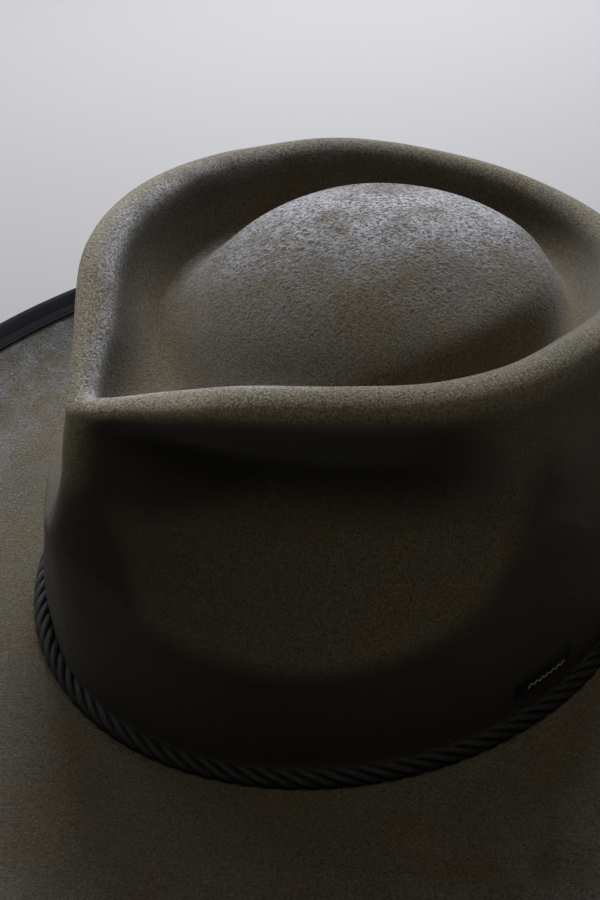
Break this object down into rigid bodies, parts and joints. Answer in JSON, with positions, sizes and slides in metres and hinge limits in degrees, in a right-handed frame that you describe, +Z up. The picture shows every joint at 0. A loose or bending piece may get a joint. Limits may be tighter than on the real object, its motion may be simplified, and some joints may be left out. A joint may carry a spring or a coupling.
{
  "type": "felt hat",
  "caption": "Felt hat with a teardrop crown pinched at the front and rounded on top, a twisted cord round the crown's foot and a ribbon-bound brim curled up at the edge.",
  "frame": {"origin": "middle of the hat's outline, on the flat underside of the brim that it rests on", "axes": "+Z up through the crown, -Y to the hat's front (the pinched tip), +X to the wearer's left, +Y the hat's longest size"},
  "size_m": [0.3556, 0.3816, 0.1265],
  "materials": {
    "felt": "olive taupe wool felt, brushed, with a coarse grain",
    "cord": "charcoal twisted cord",
    "ribbon": "charcoal ribbed ribbon",
    "tab": "black woven tab"
  },
  "bodies": {
    "root": {"felt_body": "felt", "cord_band": "cord", "brim_binding": "ribbon", "side_tab": "tab"}
  },
  "joints": []
}
